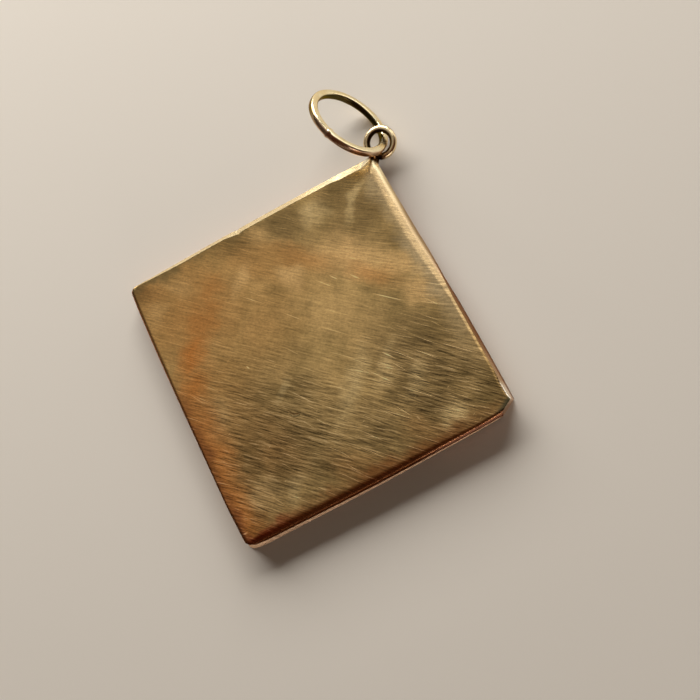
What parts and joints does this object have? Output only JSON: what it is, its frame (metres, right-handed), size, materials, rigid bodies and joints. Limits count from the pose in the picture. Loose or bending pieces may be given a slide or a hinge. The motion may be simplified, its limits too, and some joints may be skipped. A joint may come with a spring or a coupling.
{
  "type": "square charm pendant",
  "caption": "Square metal plaque charm worn by its corner, with softened edges, a soldered corner ring and a jump ring that takes a chain.",
  "frame": {"origin": "middle of the plaque, on the flat front that it rests on", "axes": "+Z out of the brushed back, +Y from the middle of the plaque to the corner that carries the rings, +X to the cut corner"},
  "size_m": [0.028, 0.0324, 0.0048],
  "materials": {
    "brushed_gold": "brushed and worn",
    "ring_gold": "polished and worn"
  },
  "bodies": {
    "root": {"plaque": "brushed_gold", "jump_ring": "ring_gold"}
  },
  "joints": []
}
